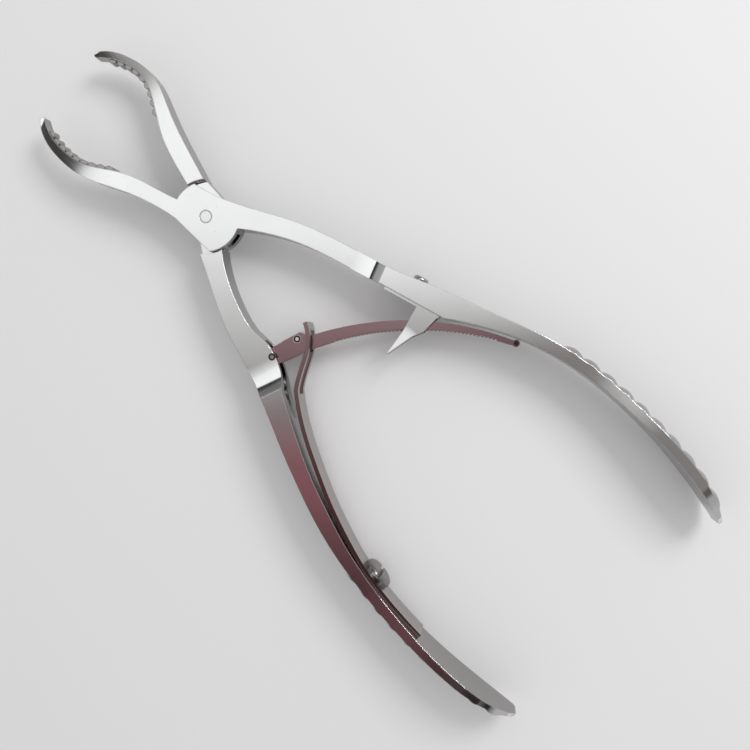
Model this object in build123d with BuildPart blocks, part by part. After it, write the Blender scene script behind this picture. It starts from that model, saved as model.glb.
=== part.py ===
from build123d import *
import os
from math import cos, degrees, radians, sin

os.makedirs("parts", exist_ok=True)

# Bone holding forceps: two crossing halves on a box joint, with a ratchet bar between the handles.
# Frame: origin on the joint pin's axis at the flat underside of the box joint, +X towards the jaws,
# +Y towards the left handle, +Z up. The jaws stand open, as far as the ratchet bar allows.

# Driving dimensions, in millimetres and degrees
JOINT_THICKNESS = 6.4
MIDDLE = JOINT_THICKNESS / 2
CHEEK_RADIUS = 9.3
SHOULDER_RADIUS = 9.9
WEB_THICKNESS = 2.8
WEB_CLEARANCE = 0.05
PIN_RADIUS = 1.7
PIN_CLEARANCE = 0.05
WINDOW_HALF_WIDTH = 5.95
WINDOW_TURN = -24.7

BLANK_HALF_WIDTH = 8.0
JAW_TIP_HALF_WIDTH = 1.5
GRIP_HALF_WIDTH = 4.8
GRIP_END_HALF_WIDTH = 6.7
JAW_TAPER_START = 24.0
JAW_TAPER_END = 54.0
RAMP_START = -45.9
RAMP_END = -49.9
FLARE_START = -98.0
FLARE_END = -134.0
GRIP_END = -149.2
SHANK_TURN = 20.0

TOOTH_RADIUS = 1.05
TOOTH_PITCH = 2.6
TOOTH_COUNT = 9
TOOTH_RISE = 1.1
TOOTH_END_INSET = 0.5

SCALLOP_COUNT = 10
SCALLOP_PITCH = 5.45
SCALLOP_FIRST = 6.0
SCALLOP_RADIUS = 4.6
SCALLOP_CROWN = 1.3
SCALLOP_RISE = 1.45

BAR_THICKNESS = 3.0
BAR_EYE_RADIUS = 2.3
PIVOT = (-38.8, 14.2)
PIVOT_RADIUS = 0.95
CROSS_PIN = (-40.1, 6.3)
CROSS_PIN_RADIUS = 1.1
CROSS_PIN_STAND = 0.15
END_PIN = (-81.8, -32.6)
END_PIN_RADIUS = 0.6
BAR_END_RADIUS = 0.95
BAR_BACK_CENTRE = (-112.3, 40.2)
BAR_BACK_RADIUS = 79.4
BAR_BACK_ANGLES = (-27.5, -47.0, -67.0)
BAR_TOOTH_CENTRE = (-118.2, 41.5)
BAR_TOOTH_RADIUS = 81.8
RATCHET_PITCH = 1.0
RATCHET_DEPTH = 0.5
RATCHET_TOOTH_COUNT = 43
RATCHET_PLAIN_ANGLE = -25.7
RATCHET_FIRST_ANGLE = -31.0
RATCHET_END_ANGLE = -63.5
FORK_GAP = BAR_THICKNESS + 0.5

KEEPER_START = (-46.6, -19.6)
KEEPER_END = (-64.4, -24.4)
KEEPER_WIDTH = 6.2
KEEPER_WINDOW = BAR_THICKNESS + 0.6
FOOT_THICKNESS = 0.75
RIVET_ALONG = 8.1
RIVET_RADIUS = 1.1
RIVET_SEAT_DEPTH = 5.2
RIVET_HEAD_RADIUS = 2.0
RIVET_HEAD_HEIGHT = 1.5

LEAF_THICKNESS = 1.1
LEAF_WIDTH = 7.4
LEAF_SLOT = 3.9
SCREW_SEAT = (-98.6, 36.75)
SCREW_TURN = 173.0
SCREW_RADIUS = 1.6
SCREW_DEPTH = 3.4
SCREW_HEAD_RADIUS = 4.3
SCREW_HEAD_HEIGHT = 2.3
SCREW_HEAD_ROUNDING = 1.4
SCREW_SLOT_WIDTH = 1.0
SCREW_SLOT_DEPTH = 1.1

# Outlines seen from above, each a list of points along one edge of a half
BOX_JAW_BACK = [
    (54.1, 13.2), (51.2, 15.5), (46.5, 17.0), (41.5, 17.3), (36.9, 16.9), (33.6, 16.1), (28.1, 13.9),
    (22.7, 11.3), (14.1, 8.0), (6.0, 6.1), (-7.1, 6.0),
]
BOX_JAW_FACE = [
    (9.05, 2.14), (13.0, 3.4), (17.3, 4.6), (25.9, 7.8), (33.4, 12.3), (37.5, 14.1), (41.3, 14.8),
    (45.2, 14.9), (49.0, 14.2), (52.9, 12.3),
]
BOX_SHANK_INSIDE = [
    (-8.56, -3.63), (-16.0, -8.6), (-23.6, -12.4), (-32.1, -15.3), (-40.0, -17.5), KEEPER_START,
]
BOX_GRIP_INSIDE = [
    KEEPER_END, (-72.6, -29.5), (-81.3, -33.7), (-92.4, -37.2), (-102.5, -38.9), (-117.4, -39.6),
    (-132.9, -38.5), (-141.6, -36.9), (-147.4, -35.3),
]
BOX_BACK = [
    (-148.0, -36.3), (-139.9, -39.4), (-130.1, -41.3), (-119.7, -42.0), (-108.6, -42.0),
    (-97.2, -41.1), (-86.0, -38.8), (-74.8, -34.9), (-63.7, -31.0), (-55.2, -27.9), (-44.6, -23.8),
    (-37.1, -21.7), (-28.5, -19.2), (-18.5, -15.5), (-6.2, -9.3), (8.36, -4.08),
]
THROUGH_JAW_BACK = [
    (54.2, -10.6), (51.6, -13.2), (48.4, -15.0), (44.5, -16.3), (40.2, -17.0), (35.5, -16.6),
    (31.3, -15.2), (27.7, -13.6), (17.3, -9.8), (7.6, -6.8),
]
THROUGH_JAW_FACE = [
    (9.8, -2.7), (17.6, -4.8), (23.5, -7.0), (28.2, -9.6), (33.0, -12.5), (37.2, -14.3),
    (41.2, -14.7), (45.0, -14.1), (49.1, -12.4), (53.0, -9.6),
]
THROUGH_SHANK_INSIDE = [
    (-9.8, 3.7), (-13.7, 6.5), (-18.5, 9.1), (-24.0, 11.3), (-30.0, 12.7), (-36.0, 12.7),
    (-40.5, 14.0), (-47.2, 18.6),
]
THROUGH_GRIP_INSIDE = [
    (-47.2, 18.6), (-59.0, 24.8), (-68.9, 29.4), (-77.4, 32.5), (-85.2, 35.0), (-93.7, 37.1),
    (-102.0, 38.4), (-110.0, 39.1), (-118.0, 39.4), (-125.6, 39.3), (-133.0, 38.7), (-140.0, 37.7),
    (-148.0, 35.5),
]
THROUGH_BACK = [
    (-148.7, 36.5), (-143.5, 38.4), (-137.0, 40.1), (-128.3, 41.3), (-113.0, 41.9), (-103.2, 41.5),
    (-93.9, 40.5),
    (-85.9, 39.1), (-77.7, 37.0), (-67.0, 33.3), (-56.0, 28.9), (-44.5, 23.9), (-37.8, 21.6),
    (-32.2, 20.0), (-22.2, 16.6), (-14.7, 12.9), (-6.1, 8.5),
]
WEB_BACK = [(0.7, -6.4), (-3.4, -4.2)]
ROOT_BACK = [(-36.6, 13.6), (-38.0, 8.5), (-39.4, 4.5)]
ROOT_FACE = [(-41.0, 14.8), (-43.3, 8.8)]
FORK_SLOT = [
    (-32.0, 9.0), (-35.6, 15.8), (-38.0, 17.3), (-45.5, 20.6), (-54.0, 23.0), (-54.0, 18.0),
    (-42.0, 9.0),
]
LEAF_LINE = [
    (-117.4, 38.75), (-110.0, 38.5), (-102.0, 37.8), (-93.7, 36.4), (-85.2, 33.95), (-77.4, 31.2),
    (-68.4, 27.2), (-58.3, 22.0), (-49.6, 15.9),
]
LEAF_TIP_LINE = [(-49.6, 15.9), (-47.6, 12.6), (-45.4, 8.2), (-38.9, 1.4)]
LEAF_SLOT_PLAN = [(-48.6, 19.5), (-52.0, 14.5), (-42.5, 0.8), (-38.1, 5.0)]
KEEPER_LUG = [(10.7, 0.5), (10.7, 7.9), (9.8, 15.2), (13.3, 8.15), (15.4, 5.6), (16.8, 0.5)]
KEEPER_WINDOW_PLAN = [(9.0, FOOT_THICKNESS), (9.0, 10.3), (18.0, 5.8), (18.0, FOOT_THICKNESS)]


def polar(centre, radius, angle):
    """The point at an angle on a circle."""
    return (centre[0] + radius * cos(radians(angle)), centre[1] + radius * sin(radians(angle)))


def side_plane(turn):
    """An upright plane through the joint's middle, its X along the instrument after a turn."""
    along = Vector(1, 0, 0).rotate(Axis.Z, turn)
    across = Vector(0, -1, 0).rotate(Axis.Z, turn)
    return Plane(origin=(0, 0, MIDDLE), x_dir=along, z_dir=across)


def shank_side_view(turn):
    """Side view of jaw, joint and shank, with the ramp up to the wider grip."""
    slope = (GRIP_HALF_WIDTH - MIDDLE) / (RAMP_START - RAMP_END)
    with BuildSketch(side_plane(turn)) as view:
        with BuildLine():
            Polyline(
                (60, 0), (60, JAW_TIP_HALF_WIDTH), (JAW_TAPER_END, JAW_TIP_HALF_WIDTH),
                (JAW_TAPER_START, MIDDLE), (RAMP_START, MIDDLE),
                (RAMP_START - BLANK_HALF_WIDTH / slope, MIDDLE + BLANK_HALF_WIDTH),
                (-200, MIDDLE + BLANK_HALF_WIDTH), (-200, 0),
            )
            mirror(about=Plane.XZ)
        make_face()
    return view.sketch


def grip_side_view():
    """Side view of the grip: even width, then the flare and the rounded end."""
    with BuildSketch(side_plane(0)) as view:
        with BuildLine():
            Polyline((60, 0), (60, GRIP_HALF_WIDTH), (FLARE_START, GRIP_HALF_WIDTH))
            Spline(
                (FLARE_START, GRIP_HALF_WIDTH), (FLARE_END, GRIP_END_HALF_WIDTH),
                tangents=[(-1, 0), (-1, 0)],
            )
            EllipticalCenterArc((FLARE_END, 0), FLARE_END - GRIP_END, GRIP_END_HALF_WIDTH, start_angle=90)
            mirror(about=Plane.XZ)
        make_face()
    return view.sketch


def jaw_half_width_at(x):
    """Half of the jaw's width, at a place along it."""
    share = (x - JAW_TAPER_START) / (JAW_TAPER_END - JAW_TAPER_START)
    return MIDDLE + share * (JAW_TIP_HALF_WIDTH - MIDDLE)


def grip_half_width_at(x):
    """Half of the grip's width, at a place along it."""
    share = min(max((FLARE_START - x) / (FLARE_START - FLARE_END), 0.0), 1.0)
    return GRIP_HALF_WIDTH + share * (GRIP_END_HALF_WIDTH - GRIP_HALF_WIDTH)


def scallop_view(centre):
    """Half section of one barrel-shaped ridge on the grip's back."""
    top = grip_half_width_at(centre.X)
    edge = SCALLOP_RADIUS - SCALLOP_CROWN
    with BuildSketch(Plane(origin=(centre.X, centre.Y, MIDDLE), x_dir=(1, 0, 0), z_dir=(0, -1, 0))) as view:
        with BuildLine():
            Polyline((edge, top), (0, top), (0, -top), (edge, -top))
            ThreePointArc((edge, -top), (SCALLOP_RADIUS, 0), (edge, top))
        make_face()
    return view.sketch


def scallop_centres(back, side):
    """Centres of the ridges, each as far inside the grip's back as its rise allows."""
    centres = []
    for number in range(SCALLOP_COUNT):
        distance = SCALLOP_FIRST + SCALLOP_PITCH * number
        place = back.position_at(distance, position_mode=PositionMode.LENGTH)
        tangent = back.tangent_at(distance, position_mode=PositionMode.LENGTH)
        inward = Vector(-tangent.Y, tangent.X, 0) * side
        centres.append(place + inward * (SCALLOP_RADIUS - SCALLOP_RISE))
    return centres


def tooth_places(face, side):
    """Centres of the rounded cross teeth along the jaw's gripping face, counted from the tip."""
    places = []
    for number in range(TOOTH_COUNT):
        distance = face.length - TOOTH_PITCH * (number + 1.8)
        place = face.position_at(distance, position_mode=PositionMode.LENGTH)
        tangent = face.tangent_at(distance, position_mode=PositionMode.LENGTH)
        inward = Vector(-tangent.Y, tangent.X, 0) * side
        point = place + inward * (TOOTH_RADIUS - TOOTH_RISE)
        places.append(Vector(point.X, point.Y, MIDDLE))
    return places


middle_plane = Plane.XY.offset(MIDDLE)
keeper_plane = Plane(
    origin=(*KEEPER_START, MIDDLE),
    x_dir=(KEEPER_END[0] - KEEPER_START[0], KEEPER_END[1] - KEEPER_START[1], 0),
    z_dir=(0, 0, -1),
)
rivet_plane = Plane(
    origin=keeper_plane.from_local_coords((RIVET_ALONG, 0, 0)), x_dir=(0, 0, 1), z_dir=-keeper_plane.y_dir,
)
screw_plane = Plane(
    origin=(*SCREW_SEAT, MIDDLE), x_dir=(0, 0, 1), z_dir=Vector(0, 1, 0).rotate(Axis.Z, SCREW_TURN),
)

# Box half: one forging with a jaw, two cheeks round a window, a shank and a grip
with BuildPart() as box_half:
    with BuildSketch(middle_plane):
        with BuildLine():
            Spline(*BOX_JAW_BACK[:-1])
            Line(BOX_JAW_BACK[-2], BOX_JAW_BACK[-1])
            ThreePointArc(BOX_JAW_BACK[-1], (-CHEEK_RADIUS, 0), BOX_SHANK_INSIDE[0])
            Spline(*BOX_SHANK_INSIDE)
            Line(KEEPER_START, KEEPER_END)
            Spline(*BOX_GRIP_INSIDE)
            ThreePointArc(BOX_GRIP_INSIDE[-1], (-148.4, -35.6), BOX_BACK[0])
            box_back = Spline(*BOX_BACK)
            ThreePointArc(BOX_BACK[-1], (CHEEK_RADIUS, 0), BOX_JAW_FACE[0])
            box_face = Spline(*BOX_JAW_FACE)
            ThreePointArc(BOX_JAW_FACE[-1], (53.8, 12.4), BOX_JAW_BACK[0])
        make_face()
    extrude(amount=BLANK_HALF_WIDTH, both=True)
    for centre in scallop_centres(box_back, 1):
        revolve(scallop_view(centre), axis=Axis((centre.X, centre.Y, 0), (0, 0, 1)))
    with BuildSketch(middle_plane):
        with BuildLine():
            Spline(*BOX_GRIP_INSIDE)
            Polyline(BOX_GRIP_INSIDE[-1], (-151, -33), (-151, -20), (-64.4, -20), KEEPER_END)
        make_face()
    extrude(amount=BLANK_HALF_WIDTH, both=True, mode=Mode.SUBTRACT)
    extrude(shank_side_view(SHANK_TURN), amount=100, both=True, mode=Mode.INTERSECT)
    extrude(grip_side_view(), amount=100, both=True, mode=Mode.INTERSECT)
    for place in tooth_places(box_face, 1):
        with Locations(place):
            Cylinder(TOOTH_RADIUS, 2 * (jaw_half_width_at(place.X) - TOOTH_END_INSET))
    with Locations(Location((0, 0, MIDDLE), (0, 0, WINDOW_TURN))):
        Box(60, 2 * WINDOW_HALF_WIDTH, WEB_THICKNESS + 2 * WEB_CLEARANCE, mode=Mode.SUBTRACT)
    with Locations((0, 0, MIDDLE)):
        Cylinder(PIN_RADIUS, 2 * JOINT_THICKNESS, mode=Mode.SUBTRACT)
    with BuildSketch(rivet_plane):
        Circle(RIVET_RADIUS)
    extrude(amount=RIVET_SEAT_DEPTH, mode=Mode.SUBTRACT)
    with BuildSketch(rivet_plane.offset(RIVET_SEAT_DEPTH)):
        Circle(RIVET_HEAD_RADIUS)
    extrude(amount=RIVET_HEAD_RADIUS, mode=Mode.SUBTRACT)
box_half.part.label = "box_half"
export_step(box_half.part, "parts/box_half.step")

# Through half: the same forging, but thinned to a web that runs through the window
with BuildPart() as through_half:
    with BuildSketch(middle_plane):
        with BuildLine():
            Spline(*THROUGH_JAW_BACK)
            Polyline(THROUGH_JAW_BACK[-1], *WEB_BACK, THROUGH_SHANK_INSIDE[0])
            Spline(*THROUGH_SHANK_INSIDE)
            Spline(*THROUGH_GRIP_INSIDE)
            ThreePointArc(THROUGH_GRIP_INSIDE[-1], (-149.0, 35.8), THROUGH_BACK[0])
            through_back = Spline(*THROUGH_BACK)
            Line(THROUGH_BACK[-1], THROUGH_JAW_FACE[0])
            through_face = Spline(*THROUGH_JAW_FACE)
            ThreePointArc(THROUGH_JAW_FACE[-1], (54.0, -9.8), THROUGH_JAW_BACK[0])
        make_face()
    extrude(amount=BLANK_HALF_WIDTH, both=True)
    for centre in scallop_centres(through_back, -1):
        revolve(scallop_view(centre), axis=Axis((centre.X, centre.Y, 0), (0, 0, 1)))
    with BuildSketch(middle_plane):
        with BuildLine():
            Spline(*THROUGH_GRIP_INSIDE)
            Polyline(THROUGH_GRIP_INSIDE[-1], (-151, 33), (-151, 15), (-47.2, 15), THROUGH_GRIP_INSIDE[0])
        make_face()
    extrude(amount=BLANK_HALF_WIDTH, both=True, mode=Mode.SUBTRACT)
    extrude(shank_side_view(-SHANK_TURN), amount=100, both=True, mode=Mode.INTERSECT)
    extrude(grip_side_view(), amount=100, both=True, mode=Mode.INTERSECT)
    for place in tooth_places(through_face, -1):
        with Locations(place):
            Cylinder(TOOTH_RADIUS, 2 * (jaw_half_width_at(place.X) - TOOTH_END_INSET))
    for side in (-1, 1):
        with Locations((0, 0, MIDDLE + side * (WEB_THICKNESS + JOINT_THICKNESS) / 2)):
            Cylinder(SHOULDER_RADIUS, JOINT_THICKNESS, mode=Mode.SUBTRACT)
    with Locations((0, 0, MIDDLE)):
        Cylinder(PIN_RADIUS + PIN_CLEARANCE, JOINT_THICKNESS, mode=Mode.SUBTRACT)
    with BuildSketch(middle_plane):
        Polygon(*FORK_SLOT, align=None)
    extrude(amount=FORK_GAP / 2, both=True, mode=Mode.SUBTRACT)
    with Locations((*PIVOT, MIDDLE)):
        Cylinder(PIVOT_RADIUS, 2 * JOINT_THICKNESS, mode=Mode.SUBTRACT)
    with BuildSketch(screw_plane):
        Circle(SCREW_RADIUS)
    extrude(amount=-SCREW_DEPTH, mode=Mode.SUBTRACT)
through_half.part.label = "through_half"
export_step(through_half.part, "parts/through_half.step")

with BuildPart() as joint_pin:
    with Locations((0, 0, MIDDLE)):
        Cylinder(PIN_RADIUS, JOINT_THICKNESS)
joint_pin.part.label = "joint_pin"
export_step(joint_pin.part, "parts/joint_pin.step")

with BuildPart() as ratchet_pivot_pin:
    with Locations((*PIVOT, MIDDLE)):
        Cylinder(PIVOT_RADIUS, JOINT_THICKNESS)
ratchet_pivot_pin.part.label = "ratchet_pivot_pin"
export_step(ratchet_pivot_pin.part, "parts/ratchet_pivot_pin.step")

# Ratchet bar: the teeth face the keeper's beak, steep on the root's side so that it can't slip back
ratchet_step = degrees(RATCHET_PITCH / BAR_TOOTH_RADIUS)
tooth_points = []
for number in range(RATCHET_TOOTH_COUNT):
    angle = RATCHET_FIRST_ANGLE - number * ratchet_step
    tooth_points.append(polar(BAR_TOOTH_CENTRE, BAR_TOOTH_RADIUS + RATCHET_DEPTH, angle))
    tooth_points.append(polar(BAR_TOOTH_CENTRE, BAR_TOOTH_RADIUS, angle))
plain_start = polar(BAR_TOOTH_CENTRE, BAR_TOOTH_RADIUS, RATCHET_PLAIN_ANGLE)
plain_end = polar(BAR_TOOTH_CENTRE, BAR_TOOTH_RADIUS, RATCHET_FIRST_ANGLE + ratchet_step)
tip_end = polar(BAR_TOOTH_CENTRE, BAR_TOOTH_RADIUS, RATCHET_END_ANGLE)
back_start, back_middle, back_end = [polar(BAR_BACK_CENTRE, BAR_BACK_RADIUS, a) for a in BAR_BACK_ANGLES]
with BuildPart() as ratchet_bar:
    with BuildSketch(middle_plane):
        with BuildLine():
            Polyline(*ROOT_BACK, back_start)
            ThreePointArc(back_start, back_middle, back_end)
            Line(back_end, tip_end)
            Line(tip_end, tooth_points[-1])
            Polyline(*reversed(tooth_points))
            Line(tooth_points[0], plain_end)
            Line(plain_end, plain_start)
            Polyline(plain_start, *reversed(ROOT_FACE), ROOT_BACK[0])
        make_face()
        with Locations(PIVOT):
            Circle(BAR_EYE_RADIUS)
            Circle(PIVOT_RADIUS + PIN_CLEARANCE, mode=Mode.SUBTRACT)
        with Locations(CROSS_PIN):
            Circle(CROSS_PIN_RADIUS, mode=Mode.SUBTRACT)
        with Locations(END_PIN):
            Circle(BAR_END_RADIUS)
            Circle(END_PIN_RADIUS, mode=Mode.SUBTRACT)
    extrude(amount=BAR_THICKNESS / 2, both=True)
ratchet_bar.part.label = "ratchet_bar"
export_step(ratchet_bar.part, "parts/ratchet_bar.step")

with BuildPart() as bar_cross_pin:
    with Locations((*CROSS_PIN, MIDDLE)):
        Cylinder(CROSS_PIN_RADIUS, BAR_THICKNESS + 2 * CROSS_PIN_STAND)
bar_cross_pin.part.label = "bar_cross_pin"
export_step(bar_cross_pin.part, "parts/bar_cross_pin.step")

with BuildPart() as bar_end_pin:
    with Locations((*END_PIN, MIDDLE)):
        Cylinder(END_PIN_RADIUS, BAR_THICKNESS + 2 * CROSS_PIN_STAND)
bar_end_pin.part.label = "bar_end_pin"
export_step(bar_end_pin.part, "parts/bar_end_pin.step")

# Keeper: a bent bracket, its foot on the handle's block, its lug with the bar's window and the beak
with BuildPart() as ratchet_keeper:
    with BuildSketch(keeper_plane):
        Polygon((1, 0), (1, FOOT_THICKNESS), (17, FOOT_THICKNESS), (17, 0), align=None)
        Polygon(*KEEPER_LUG, align=None)
    extrude(amount=KEEPER_WIDTH / 2, both=True)
    with BuildSketch(keeper_plane):
        Polygon(*KEEPER_WINDOW_PLAN, align=None)
    extrude(amount=KEEPER_WINDOW / 2, both=True, mode=Mode.SUBTRACT)
    with BuildSketch(rivet_plane):
        Circle(RIVET_RADIUS)
    extrude(amount=-FOOT_THICKNESS, mode=Mode.SUBTRACT)
ratchet_keeper.part.label = "ratchet_keeper"
export_step(ratchet_keeper.part, "parts/ratchet_keeper.step")

with BuildPart() as keeper_rivet:
    with BuildSketch(rivet_plane.offset(-FOOT_THICKNESS)):
        Circle(RIVET_RADIUS)
    extrude(amount=FOOT_THICKNESS + RIVET_SEAT_DEPTH)
    with BuildSketch(rivet_plane.offset(RIVET_SEAT_DEPTH)):
        Circle(RIVET_HEAD_RADIUS)
    extrude(amount=RIVET_HEAD_HEIGHT)
    fillet(keeper_rivet.faces().sort_by(Axis(rivet_plane.location))[-1].edges(), 0.7)
keeper_rivet.part.label = "keeper_rivet"
export_step(keeper_rivet.part, "parts/keeper_rivet.step")

# Leaf spring: a strip on the left handle's inner face, slotted where the bar's root passes through
with BuildPart() as leaf_spring:
    with BuildSketch(middle_plane):
        with BuildLine():
            Spline(*LEAF_LINE)
            Spline(*LEAF_TIP_LINE)
        trace(line_width=LEAF_THICKNESS)
    extrude(amount=LEAF_WIDTH / 2, both=True)
    with BuildSketch(middle_plane):
        Polygon(*LEAF_SLOT_PLAN, align=None)
    extrude(amount=LEAF_SLOT / 2, both=True, mode=Mode.SUBTRACT)
    with BuildSketch(screw_plane):
        Circle(SCREW_RADIUS)
    extrude(amount=-LEAF_THICKNESS - 0.2, mode=Mode.SUBTRACT)
    with BuildSketch(screw_plane):
        Circle(SCREW_HEAD_RADIUS)
    extrude(amount=1, mode=Mode.SUBTRACT)
leaf_spring.part.label = "leaf_spring"
export_step(leaf_spring.part, "parts/leaf_spring.step")

with BuildPart() as spring_screw:
    with BuildSketch(screw_plane):
        Circle(SCREW_RADIUS)
    extrude(amount=-SCREW_DEPTH)
    with BuildSketch(screw_plane):
        Circle(SCREW_HEAD_RADIUS)
    extrude(amount=SCREW_HEAD_HEIGHT)
    fillet(spring_screw.faces().sort_by(Axis(screw_plane.location))[-1].edges(), SCREW_HEAD_ROUNDING)
    with BuildSketch(screw_plane.offset(SCREW_HEAD_HEIGHT)):
        Rectangle(2 * SCREW_HEAD_RADIUS, SCREW_SLOT_WIDTH)
    extrude(amount=-SCREW_SLOT_DEPTH, mode=Mode.SUBTRACT)
spring_screw.part.label = "spring_screw"
export_step(spring_screw.part, "parts/spring_screw.step")
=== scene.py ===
# %% [markdown]
# # Bone holding forceps
#
# Two forged halves cross in a box joint, and a toothed bar holds the handles where the hand has closed
# them. The shape of all this already exists as a CAD model, in which the halves, the ratchet and the
# leaf spring have their place and size, so nothing here moves or resizes them. What is left for
# Blender is the steel itself: how a bright half differs from the dark bar, which faces stay dull, which
# shade, highlights and reflections are painted into its colours, and what room such metal needs around
# it to look like metal.

import bpy
from math import acos, atan2, cos, degrees, radians, sin
from mathutils import Matrix, Vector


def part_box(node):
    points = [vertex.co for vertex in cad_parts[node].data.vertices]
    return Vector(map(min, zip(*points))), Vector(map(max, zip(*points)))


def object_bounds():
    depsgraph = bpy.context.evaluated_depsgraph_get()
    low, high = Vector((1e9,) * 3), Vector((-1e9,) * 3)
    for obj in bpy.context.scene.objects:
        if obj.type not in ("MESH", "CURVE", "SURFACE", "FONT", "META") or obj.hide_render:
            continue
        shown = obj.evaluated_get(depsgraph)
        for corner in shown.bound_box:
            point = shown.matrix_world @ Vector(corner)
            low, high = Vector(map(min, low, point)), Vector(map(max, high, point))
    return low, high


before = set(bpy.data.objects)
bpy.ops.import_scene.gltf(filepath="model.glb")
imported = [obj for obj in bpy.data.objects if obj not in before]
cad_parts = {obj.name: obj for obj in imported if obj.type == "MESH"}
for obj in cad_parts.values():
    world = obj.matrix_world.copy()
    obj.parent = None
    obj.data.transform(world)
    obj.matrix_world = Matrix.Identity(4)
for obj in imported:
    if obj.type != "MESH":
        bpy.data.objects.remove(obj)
cad_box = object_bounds()
print("nodes:", ", ".join(sorted(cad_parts)))

# %% [markdown]
# Everything is in metres. The origin is on the axis of the joint pin, +X runs to the jaws and +Z up to
# the viewer. A few heights are read from the CAD nodes, so that a change of the model carries over.

# %% Places read from the model
MM = 0.001
UP = Vector((0.0, 0.0, 1.0))
pin_low, pin_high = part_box("joint_pin")
MIDDLE = (pin_low.z + pin_high.z) / 2
HALF_JOINT = (pin_high.z - pin_low.z) / 2
floor_height = min(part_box(half)[0].z for half in ("box_half", "through_half"))
print(f"pin top {pin_high.z / MM:.1f} mm, floor {floor_height / MM:.1f} mm")

# %% [markdown]
# Light and camera are both set from the picture's own right and up. In the frame these two directions
# lie flat, turned about +Z. With them a direction in the room can be given as a viewer would point it
# out: so far to the right, so far up the picture.

# %% Directions of the picture
PICTURE_TURN = radians(224.237)
PAGE_RIGHT = Vector((cos(PICTURE_TURN), sin(PICTURE_TURN), 0.0))
PAGE_UP = Vector((-sin(PICTURE_TURN), cos(PICTURE_TURN), 0.0))
print("picture's right in the frame:", [round(v, 2) for v in PAGE_RIGHT])

# %% [markdown]
# ## A small language for shaders
#
# A material is a graph of nodes. Building it call by call hides what it computes, so one small class
# wraps a socket and lets Python's own operators add the Math nodes: `1 - mask * 0.5` reads as what it
# does. Any node that isn't arithmetic comes from one method, `node`, which sets the node's settings
# first and then its inputs, each either a value or a link.


# %% Sockets that can be added and multiplied
class Wire:
    """An output socket on which + - * / and ** add Math nodes."""

    def __init__(self, graph, socket):
        self.graph = graph
        self.socket = socket

    def _math(self, operation, first, second):
        return self.graph.node("ShaderNodeMath", {"operation": operation}, {0: first, 1: second})

    def __add__(self, other):
        return self._math("ADD", self, other)

    def __sub__(self, other):
        return self._math("SUBTRACT", self, other)

    def __mul__(self, other):
        return self._math("MULTIPLY", self, other)

    def __truediv__(self, other):
        return self._math("DIVIDE", self, other)

    def __pow__(self, other):
        return self._math("POWER", self, other)

    def __rsub__(self, other):
        return self._math("SUBTRACT", other, self)

    __radd__ = __add__
    __rmul__ = __mul__


class Graph:
    """The nodes of one material, or of the world."""

    def __init__(self, tree):
        self.tree = tree

    def node(self, kind, settings=None, inputs=None, output=0):
        """Adds a node, sets it up, feeds its inputs and returns one output."""
        made = self.tree.nodes.new(kind)
        for name, value in (settings or {}).items():
            setattr(made, name, value)
        for name, value in (inputs or {}).items():
            self.feed(made.inputs[name], value)
        return Wire(self, made.outputs[output])

    def feed(self, socket, value):
        """Links a wire to a socket, or sets the socket's own value."""
        if isinstance(value, Wire):
            self.tree.links.new(value.socket, socket)
        else:
            socket.default_value = value

    def vector(self, operation, first, second=None, scale=None):
        """Vector Math: a number for DISTANCE and DOT_PRODUCT, otherwise a vector."""
        inputs = {0: first, 1: second, 3: scale}
        given = {slot: value for slot, value in inputs.items() if value is not None}
        output = 1 if operation in ("DISTANCE", "DOT_PRODUCT") else 0
        return self.node("ShaderNodeVectorMath", {"operation": operation}, given, output)

    def mix(self, factor, first, second):
        """Mixes two colours."""
        settings = {"data_type": "RGBA", "clamp_factor": True}
        return self.node("ShaderNodeMix", settings, {0: factor, 6: first, 7: second}, output=2)

    def mix_vectors(self, factor, first, second):
        """Mixes two vectors."""
        settings = {"data_type": "VECTOR", "clamp_factor": True}
        return self.node("ShaderNodeMix", settings, {0: factor, 4: first, 5: second}, output=1)

    def between(self, value, low, high, to_low=0.0, to_high=1.0):
        """Maps a range of values to another, held at its ends."""
        limits = {0: value, 1: low, 2: high, 3: to_low, 4: to_high}
        return self.node("ShaderNodeMapRange", {"clamp": True}, limits)


print("a Wire is a socket, a Graph holds the nodes")

# %% [markdown]
# Every material starts the same way: a new material, its graph, and the Principled shader that Blender
# puts in it. What a finish decides are a few of that shader's inputs, so those are handed out.


# %% A new material
def new_finish(name):
    """A new material, its graph and the inputs of its shader."""
    material = bpy.data.materials.new(name)
    material.use_nodes = True
    shader = material.node_tree.nodes["Principled BSDF"]
    return material, Graph(material.node_tree), shader.inputs


print("each finish is one Principled shader")

# %% [markdown]
# ## Steel
#
# Bare steel has almost no colour of its own. Its look is what it mirrors, broken up by how it was
# finished, and three noises stand for that. Grinding leaves fine lines: noise stretched along +X, the
# length of the instrument. Each piece's own turn comes after the stretch, so it doesn't turn the
# lines. It reads the noise at another place, and neighbours don't show the same ones. Use leaves soft
# patches, and the forging leaves a few pits. A picture of real scratches would do as well, but noise
# has no seams and needs no unwrapping.

# %% Lines, patches and pits
LINE_SCALE = (60.0, 2600.0, 2600.0)
PATCH_SCALE = 70.0
PIT_SCALE = 1500.0
PIT_LEVELS = (0.70, 0.78)


def noise(graph, where, scale, detail):
    """Soft noise around 0.5."""
    return graph.node("ShaderNodeTexNoise", None, {"Vector": where, "Scale": scale, "Detail": detail})


def grinding_lines(graph, place, turn):
    """Noise that is long along +X and fine across it."""
    inputs = {"Vector": place, "Rotation": (0.0, 0.0, radians(-turn)), "Scale": LINE_SCALE}
    return noise(graph, graph.node("ShaderNodeMapping", {"vector_type": "POINT"}, inputs), 1.0, 3.0)


def pits(graph, place):
    """1 in a few small spots, otherwise 0."""
    return graph.between(noise(graph, place, PIT_SCALE, 2.0), *PIT_LEVELS)


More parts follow.
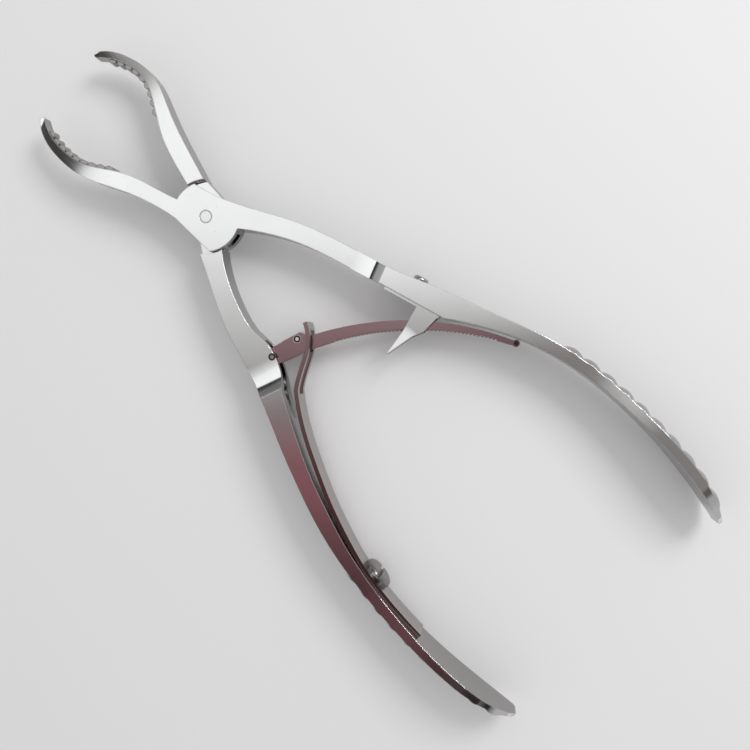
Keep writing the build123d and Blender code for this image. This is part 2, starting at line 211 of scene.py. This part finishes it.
print(f"lines about {1 / LINE_SCALE[0] / MM:.0f} mm long and {1 / LINE_SCALE[1] / MM:.1f} mm wide")

# %% [markdown]
# The wheel reaches the upper and lower faces of a forging and leaves its sides rougher. Their colour is
# painted as well: darker than the faces on most pieces, as painted shade, while on the leaf the faces
# carry a painted dark reflection and the sides stay lighter. How upright the normal is tells the two
# apart. The jaws' teeth are rougher too and get the painted shade of the sides: they end half a
# millimetre below the jaw's face, and the wheel passes over them. A painted mask would need unwrapping,
# so a second test measures how deep a point lies under the face. The face slopes down towards the tip,
# between the two places where the model's taper starts and ends.

# %% Faces, sides and teeth
FACE_LEVELS = (0.25, 0.60)
JAW_START = (22.0 * MM, 23.0 * MM)
JAW_TAPER = (24.0 * MM, 54.0 * MM)
JAW_THINNING = 1.7 * MM
TOOTH_DEPTH = (0.15 * MM, 0.3 * MM)


def on_face(graph, upright):
    """1 on the faces that look up or down, 0 on the sides."""
    return graph.between(upright * upright, *FACE_LEVELS)


def under_jaw_face(graph, along, place):
    """1 where a point of the jaw lies under its face, as the teeth do, otherwise 0."""
    height = graph.vector("DOT_PRODUCT", place, UP) - MIDDLE
    from_middle = graph.node("ShaderNodeMath", {"operation": "ABSOLUTE"}, {0: height})
    face = HALF_JOINT - graph.between(along, *JAW_TAPER, 0.0, JAW_THINNING)
    return graph.between(face - from_middle, *TOOTH_DEPTH) * graph.between(along, *JAW_START)


print(f"a jaw thins by {2 * JAW_THINNING / MM:.1f} mm")

# %% [markdown]
# A face ground by hand isn't quite flat either, and on a mirror a lean of a few degrees is plain to
# see. Two leans of the normal show that and leave the shape alone. A *cove* softens the ramp where the
# shank rises to the wider grip: the lean starts before the ramp and grows along it, until it is a
# little more than the ramp's own slope. A *facet* is a round patch that leans one way.

# %% Cove and facet
COVE = (-41.0 * MM, -49.9 * MM)
COVE_SLOPE = 0.45
COVE_GROWTH = 1.5
COVE_ONSET = 0.02
COVE_EDGE = 0.05 * MM
COVE_FACES = (0.6, 0.7)
SIGN_WIDTH = 0.1
FACET_CORE = 0.55


def coved(graph, surface, along, upright, direction):
    """Lets a lean grow along the shank, on the faces that look up or down."""
    share = graph.between(along, *COVE)
    lean = graph.vector("SCALE", direction, scale=share**COVE_GROWTH * COVE_SLOPE)
    sign = graph.between(upright, -SIGN_WIDTH, SIGN_WIDTH, -1.0, 1.0)
    up_or_down = graph.vector("SCALE", UP, scale=sign)
    soft = graph.vector("NORMALIZE", graph.vector("ADD", up_or_down, lean))
    inside = graph.between(share, 0.0, COVE_ONSET)
    inside = inside * graph.between(along, COVE[1], COVE[1] + COVE_EDGE)
    inside = inside * graph.between(upright * upright, *COVE_FACES)
    return graph.mix_vectors(inside, surface, soft)


def faceted(graph, surface, place, centre, radius, lean):
    """Leans the normal within a round patch, seen from above."""
    flattened = graph.vector("MULTIPLY", place, (1.0, 1.0, 0.0))
    distance = graph.vector("DISTANCE", flattened, centre)
    tilt = graph.vector("SCALE", lean, scale=graph.between(distance, radius, radius * FACET_CORE))
    return graph.vector("NORMALIZE", graph.vector("ADD", surface, tilt))


print(f"the cove is {(COVE[0] - COVE[1]) / MM:.1f} mm long")

# %% [markdown]
# One function makes every steel but that of the pins, and the finishes differ in a few numbers: how
# bright faces are, how bright the sides are painted to stand for their shade, how rough the metal is,
# how much the lines show in it and how far its edges are rounded. The rounding is a Bevel node. The
# last pass over the wheel breaks every edge by 0.3 mm or less, which catches the light but is too
# little to be worth faces of its own.

# %% One function for every steel
WORN = (0.42, 0.41, 0.41, 1.0)
PATCH_WEAR = 0.25
PIT_WEAR = 0.3
PATCH_ROUGHNESS = 0.08
PIT_ROUGHNESS = 0.1
SIDE_ROUGHNESS = 0.14
PATCH_RELIEF = 0.8
RELIEF = {"Strength": 0.08, "Distance": 0.02 * MM}


def steel(name, colour, side_shading, roughness, grain, turn=0.0, edge=0.3 * MM, half=False, facet=None):
    """A ground steel; a half lies at an angle of turn degrees to +X and gets its cove and teeth."""
    material, graph, inputs = new_finish(name)
    place = graph.node("ShaderNodeNewGeometry", output="Position")
    upright = graph.vector("DOT_PRODUCT", graph.node("ShaderNodeNewGeometry", output="Normal"), UP)
    lines = grinding_lines(graph, place, turn)
    patches = noise(graph, place, PATCH_SCALE, 4.0)
    pitted = pits(graph, place)
    face = on_face(graph, upright)
    surface = graph.node("ShaderNodeBevel", {"samples": 4}, {"Radius": edge})
    if half:
        direction = Vector((cos(radians(turn)), sin(radians(turn)), 0.0))
        along = graph.vector("DOT_PRODUCT", place, direction)
        face = face * (1 - under_jaw_face(graph, along, place))
        surface = coved(graph, surface, along, upright, direction)
    if facet:
        surface = faceted(graph, surface, place, *facet)
    # The sides' colour is painted shade, darker than the faces on most pieces; on the leaf the faces
    # carry a painted dark reflection and the sides stay lighter.
    base = graph.mix(face, (*side_shading, 1.0), (*colour, 1.0))
    uneven = (lines - 0.5) * grain + (patches - 0.5) * PATCH_ROUGHNESS + pitted * PIT_ROUGHNESS
    bump = {**RELIEF, "Height": lines + patches * PATCH_RELIEF, "Normal": surface}
    graph.feed(inputs["Base Color"], graph.mix(patches * PATCH_WEAR + pitted * PIT_WEAR, base, WORN))
    graph.feed(inputs["Metallic"], 1.0)
    graph.feed(inputs["Roughness"], roughness + uneven + (1 - face) * SIDE_ROUGHNESS)
    graph.feed(inputs["Normal"], graph.node("ShaderNodeBump", None, bump))
    return material


print("steel: bright faces, duller sides, rounded edges")

# %% [markdown]
# ## Pins
#
# A pin that is peened over shows a ring, and here it is painted: a dark ring is painted shade in the
# gap around the pin and on its hammered rim, and its middle keeps a painted highlight. A groove in the
# model could show the same, but it would be a guess at a shape, where only a change of tone can be
# seen. So the ring is a band of distances from the pin's own axis. The axis is read from the CAD node,
# and the ring stays centred on the pin.

# %% Rings on the pins
RING_INSIDE = 0.12
RING_OUTSIDE = 0.08
PIN_ROUGHNESS = 0.22


def pin_steel(name, node, bright, dark, inner, outer):
    """A pin's end: a painted highlight in the middle, painted shade between two shares of its radius.
    """
    low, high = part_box(node)
    radius = (high.x - low.x) / 2
    axis = Vector(((low.x + high.x) / 2, (low.y + high.y) / 2, 0.0))
    material, graph, inputs = new_finish(name)
    flattened = graph.vector("MULTIPLY", graph.node("ShaderNodeNewGeometry"), (1.0, 1.0, 0.0))
    away = graph.vector("DISTANCE", flattened, axis) / radius
    ring = graph.between(away, inner - RING_INSIDE, inner)
    ring = ring * graph.between(away, outer + RING_OUTSIDE, outer)
    graph.feed(inputs["Base Color"], graph.mix(ring, (*bright, 1.0), (*dark, 1.0)))
    graph.feed(inputs["Metallic"], 1.0)
    graph.feed(inputs["Roughness"], PIN_ROUGHNESS)
    return material


print("pins: a dark ring round a bright spot")

# %% [markdown]
# ## The finishes
#
# The two halves are the same bright steel, and their turn is about how far their shanks lean, 20
# degrees either way. The keeper is a little duller, and its beak gets a facet that leans up the
# picture, to where the room is brighter. The bar and the leaf are painted darker, with a mauve cast:
# painted shade and a painted reflection of a dark red surrounding, so they keep both wherever they
# point. Screw and rivet are plain grey.

# %% Finishes for the pieces
# Each finish's second colour is for the sides: painted shade on the halves, keeper and bar.
BRIGHT = dict(colour=(0.86, 0.86, 0.86), side_shading=(0.34, 0.33, 0.32), roughness=0.07, grain=0.04)
DULL = dict(colour=(0.77, 0.77, 0.77), side_shading=(0.34, 0.33, 0.32), roughness=0.13, grain=0.06)
# Bar and leaf: their dark mauve colour is painted shade and a painted reflection of a dark red
# surrounding.
BAR = dict(colour=(0.375, 0.215, 0.235), side_shading=(0.18, 0.12, 0.13), roughness=0.14, grain=0.05)
SPRING = dict(colour=(0.29, 0.19, 0.19), side_shading=(0.42, 0.39, 0.38), roughness=0.18, grain=0.06)
# The darkest colour here paints the shade in the pins' rings; in each pin the brighter colour paints a
# highlight in its middle.
NEAR_BLACK = (0.05, 0.045, 0.045)
SILVER = (0.85, 0.85, 0.85)
GREY = (0.40, 0.39, 0.38)
DIM = (0.25, 0.24, 0.23)
BEAK = (Vector((-61.0, -11.0, 0.0)) * MM, 6.0 * MM, PAGE_UP * 0.12)

finishes = {
    "box_half": steel("bright_right", turn=20.0, half=True, **BRIGHT),
    "through_half": steel("bright_left", turn=-20.0, half=True, **BRIGHT),
    # Pins: a painted highlight in the middle and painted shade in the ring.
    "joint_pin": pin_steel("joint_pin_end", "joint_pin", SILVER, GREY, 0.90, 1.0),
    "ratchet_pivot_pin": pin_steel("pivot_end", "ratchet_pivot_pin", GREY, NEAR_BLACK, 0.60, 1.0),
    "ratchet_bar": steel("dark_bar", turn=42.0, edge=0.15 * MM, **BAR),
    "bar_cross_pin": pin_steel("cross_pin_end", "bar_cross_pin", SILVER, NEAR_BLACK, 0.50, 0.85),
    "bar_end_pin": pin_steel("end_pin_end", "bar_end_pin", GREY, NEAR_BLACK, 0.10, 1.0),
    "ratchet_keeper": steel("dull_keeper", turn=75.0, edge=0.1 * MM, facet=BEAK, **DULL),
    "keeper_rivet": steel("rivet", colour=GREY, side_shading=GREY, roughness=0.2, grain=0.0),
    "leaf_spring": steel("spring_leaf", turn=-25.0, edge=0.15 * MM, **SPRING),
    "spring_screw": steel("screw", colour=DIM, side_shading=DIM, roughness=0.2, grain=0.0),
}
for node, material in finishes.items():
    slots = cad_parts[node].data.materials
    slots.clear()
    slots.append(material)
print(len(finishes), "finishes set")

# %% [markdown]
# ## The floor it lies on
#
# The floor is a plain, pale plane at the height of the lowest point of the grips. It is lit like any
# other surface, so it keeps the forceps' soft shadow. Its own colour is a light grey and not white: a
# white floor would burn out in the corner of the picture that lies nearest to the lamp.

# %% A pale floor
FLOOR_SIZE = 3.0
FLOOR_COLOUR = (0.80, 0.80, 0.81, 1.0)
FLOOR_ROUGHNESS = 0.9

bpy.ops.mesh.primitive_plane_add(size=FLOOR_SIZE, location=(0.0, 0.0, floor_height))
floor = bpy.context.object
floor.name = "floor"
floor_finish, floor_graph, floor_inputs = new_finish("floor")
floor_graph.feed(floor_inputs["Base Color"], FLOOR_COLOUR)
floor_graph.feed(floor_inputs["Roughness"], FLOOR_ROUGHNESS)
floor.data.materials.append(floor_finish)
print("floor at", round(floor.location.z / MM, 2), "mm")

# %% [markdown]
# ## Light
#
# Metal shows its surroundings, so here the surroundings are the main light. The steel mirrors a room
# that is a function of direction only: `ahead`, `aside` and `height` say how far a ray leans towards
# the picture's up, its right and the zenith. So the room stays where it is when the camera moves. A
# dome with a painted picture would do the same, but a few fades are easier to move.

# %% Three measures of a direction
world = bpy.data.worlds.new("studio")
bpy.context.scene.world = world
world.use_nodes = True
sky = Graph(world.node_tree)
ray = sky.node("ShaderNodeTexCoord", output="Generated")
ahead = sky.vector("DOT_PRODUCT", ray, PAGE_UP)
aside = sky.vector("DOT_PRODUCT", ray, PAGE_RIGHT)
height = sky.vector("DOT_PRODUCT", ray, UP)


def fade(value, start, end, first, second):
    """From the first colour to the second, while a value goes from start to end."""
    return sky.mix(sky.between(value, start, end), first, second)


print("a ray of the room is measured by ahead, aside and height")

# %% [markdown]
# A bright cloth covers the middle of the sky, brightest where it is farthest from the viewer. Towards
# the viewer it falls off to a dusk: grey to the right, mauve to the left, and nearly black at its
# nearest. The flat faces of jaws and joint mirror the cloth. The handles curve away towards the dusk,
# so the left one goes from silver to a dim mauve.

# %% Cloth and dusk
CLOTH = (0.98, 0.99, 0.99, 1.0)
FAR_CLOTH = (1.13, 1.14, 1.14, 1.0)
TWILIGHT = (0.25, 0.235, 0.23, 1.0)
GREY_DUSK = (0.24, 0.225, 0.215, 1.0)
MAUVE = (0.27, 0.115, 0.13, 1.0)
DARK_MAUVE = (0.015, 0.010, 0.009, 1.0)
NIGHT = (0.030, 0.021, 0.019, 1.0)
NIGHT_SLANT = 0.4

left_dusk = fade(ahead, -0.46, -0.12, DARK_MAUVE, MAUVE)
left_dusk = fade(ahead, -0.15, -0.06, left_dusk, TWILIGHT)
dusk = fade(aside, -0.12, 0.10, left_dusk, GREY_DUSK)
dusk = fade(ahead + aside * NIGHT_SLANT, -0.46, -0.28, NIGHT, dusk)
cloth_start = sky.between(aside, -0.30, 0.0, -0.09, 0.0)
cloth_end = sky.between(aside, -0.30, 0.0, 0.16, 0.10)
cloth = fade(ahead, cloth_start, cloth_end, dusk, CLOTH)
cloth = fade(ahead, 0.11, 0.26, cloth, FAR_CLOTH)
print(f"far cloth {FAR_CLOTH[0]:.2f}, cloth {CLOTH[0]:.2f}, night {NIGHT[0]:.2f}")

# %% [markdown]
# The cloth ends in a sharp edge, about 36 degrees from straight up. Below it there is a rim, dark to
# the left and lit to the right, and this edge is what the tips of the jaws mirror. A lower band of the
# rim shows in the ramps and in the rounded ends of the grips. Under it come the grey walls, which a low
# camera sees in the flat faces.

# %% Rim and walls
RIM_LEFT = (0.03, 0.028, 0.025, 1.0)
RIM_RIGHT = (0.42, 0.41, 0.39, 1.0)
RIM_NEAR = (0.12, 0.11, 0.11, 1.0)
BAND_LEFT = (0.36, 0.37, 0.38, 1.0)
BAND_FAR = (0.17, 0.17, 0.175, 1.0)
BAND_NEAR = (0.025, 0.020, 0.020, 1.0)
BAND_RIGHT = (0.40, 0.41, 0.40, 1.0)
WALLS = (0.48, 0.48, 0.49, 1.0)
CLOTH_EDGE = (0.810, 0.814)
EDGE_SLANT = 0.073

slant = ahead + aside
rim = fade(slant, -0.042, -0.033, RIM_LEFT, RIM_RIGHT)
rim = fade(ahead, 0.05, -0.10, rim, RIM_NEAR)
band = fade(slant, -0.25, -0.05, BAND_LEFT, BAND_FAR)
band = fade(ahead, 0.15, -0.05, band, BAND_NEAR)
band = fade(aside, 0.30, 0.50, band, BAND_RIGHT)
below_cloth = fade(height, 0.762, 0.70, rim, band)
below_cloth = fade(height, 0.64, 0.48, below_cloth, WALLS)
room = fade(height - slant * EDGE_SLANT, *CLOTH_EDGE, below_cloth, cloth)
print(f"the cloth ends {degrees(acos(CLOTH_EDGE[0])):.0f} degrees from straight up")

# %% [markdown]
# Such a room would light the floor unevenly and tint it. So only mirror rays see it. Every other ray
# meets an even, pale sky, and that one lights the floor.

# %% Two skies in one world
PALE_SKY = (0.68, 0.67, 0.67, 1.0)
glossy = sky.node("ShaderNodeLightPath", output="Is Glossy Ray")
backdrop = world.node_tree.nodes["Background"]
sky.feed(backdrop.inputs["Color"], sky.mix(glossy, PALE_SKY, room))
sky.feed(backdrop.inputs["Strength"], 1.0)
print("mirror rays see the room, all others the pale sky")

# %% [markdown]
# The even sky alone would leave the shadow without a direction. One square lamp beyond the
# instrument and to its right gives it one. The lamp is wider than the forceps are long, so the shadow
# stays soft, and round the instrument it adds less light to the floor than the sky does.

# %% One soft lamp
WINDOW_SLOPES = (0.95, 0.80)
WINDOW_DISTANCE = 0.7
WINDOW_SIZE = 0.28
WINDOW_POWER = 2.2

middle = (cad_box[0] + cad_box[1]) / 2
towards = (UP + PAGE_RIGHT * WINDOW_SLOPES[0] + PAGE_UP * WINDOW_SLOPES[1]).normalized()
window_data = bpy.data.lights.new("window", "AREA")
window_data.shape = "SQUARE"
window_data.size = WINDOW_SIZE
window_data.energy = WINDOW_POWER
window = bpy.data.objects.new("window", window_data)
window.location = middle + towards * WINDOW_DISTANCE
window.rotation_euler = (middle - window.location).to_track_quat("-Z", "Y").to_euler()
bpy.context.scene.collection.objects.link(window)
print("lamp at", [round(value / MM) for value in window.location], "mm")

# %% [markdown]
# ## The camera
#
# The photograph was taken from about 20 cm above the instrument, nearly straight down. Three things
# fix such a camera: the pixel that lies straight below it, the focal length in pixels, and how far up
# it is. A pixel gives a ray in the camera's own axes. The ray of the lowest pixel must point
# straight down, which sets the tilt, and the ray of the joint pin's pixel must pass through the pin,
# which sets the place.

# %% Camera from the photograph's own measures
IMAGE = 750
FOCAL = 755.0
BELOW_PIXEL = (480.0, 350.0)
PIN_PIXEL = (205.7, 216.5)
HEIGHT_OVER_JOINT = 193.5 * MM
NEAR_CLIP = 0.01


def pixel_ray(pixel):
    """The direction of a pixel in the camera's axes: right, up and back."""
    return Vector(((pixel[0] - IMAGE / 2) / FOCAL, (IMAGE / 2 - pixel[1]) / FOCAL, -1.0))


down = pixel_ray(BELOW_PIXEL).normalized()
across = (Vector((1.0, 0.0, 0.0)) - down * down.x).normalized()
camera_axes = Matrix((across, across.cross(down), -down))
page_axes = Matrix((PAGE_RIGHT, PAGE_UP, UP)).transposed()
camera_turn = page_axes @ camera_axes
pin_ray = camera_turn @ pixel_ray(PIN_PIXEL)
camera_place = UP * pin_high.z + pin_ray * (HEIGHT_OVER_JOINT / pin_ray.z)

camera_data = bpy.data.cameras.new("camera")
camera_data.angle = 2 * atan2(IMAGE / 2, FOCAL)
camera_data.clip_start = NEAR_CLIP
camera = bpy.data.objects.new("camera", camera_data)
camera.matrix_world = Matrix.Translation(camera_place) @ camera_turn.to_4x4()
bpy.context.scene.collection.objects.link(camera)
bpy.context.scene.camera = camera
bpy.context.scene.view_settings.view_transform = "Standard"
print("camera at", [round(value / MM, 1) for value in camera_place], "mm")
